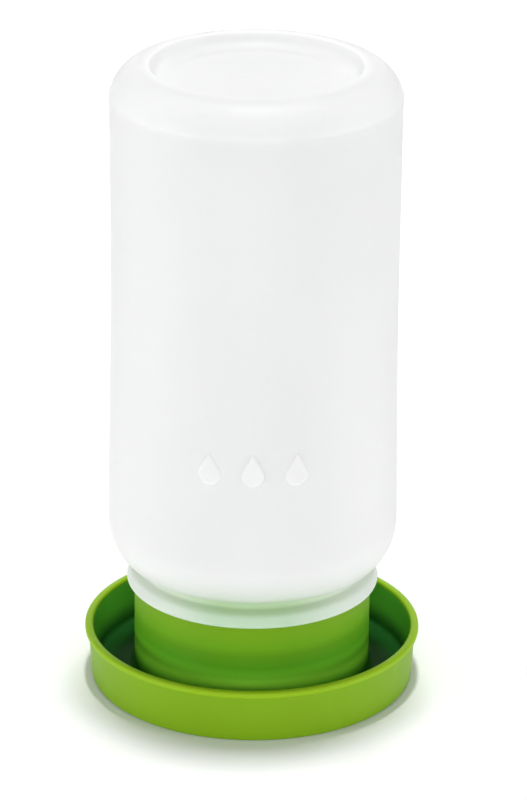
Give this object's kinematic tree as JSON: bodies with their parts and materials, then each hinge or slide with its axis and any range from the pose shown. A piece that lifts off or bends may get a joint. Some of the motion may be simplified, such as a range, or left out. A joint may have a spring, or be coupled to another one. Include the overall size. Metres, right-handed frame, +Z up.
{
  "type": "poultry waterer fount",
  "caption": "Chick and quail water fount: a translucent jar screwed upside down into a round green drinking base that stays full from it.",
  "frame": {"origin": "centre of the foot, on the ground", "axes": "+Z up the jar, front with the raised drops faces -Y"},
  "size_m": [0.1088, 0.1088, 0.2083],
  "materials": {
    "base_plastic": "injection-moulded opaque yellowish-green polypropylene, satin to gloss",
    "jar_plastic": "blow-moulded natural polyethylene, milky white and translucent, satin",
    "washer_rubber": "flat black sealing rubber"
  },
  "bodies": {
    "base": {"drinking_base": "base_plastic"},
    "seal": {"sealing_washer": "washer_rubber"},
    "jar": {"fount_jar": "jar_plastic"}
  },
  "joints": [
    {"name": "jar_turn", "type": "hinge", "parent": "base", "child": "seal", "pos_m": [0, 0, 0], "axis": [0, 0, 1], "range_deg": [0, 1440]},
    {"name": "jar_lift", "type": "slide", "parent": "seal", "child": "jar", "axis": [0, 0, 1], "range_m": [0, 0.024]}
  ],
  "couplings": [
    {"joint": "jar_lift", "follows": "jar_turn", "m_per_rad": 0.00095492}
  ]
}
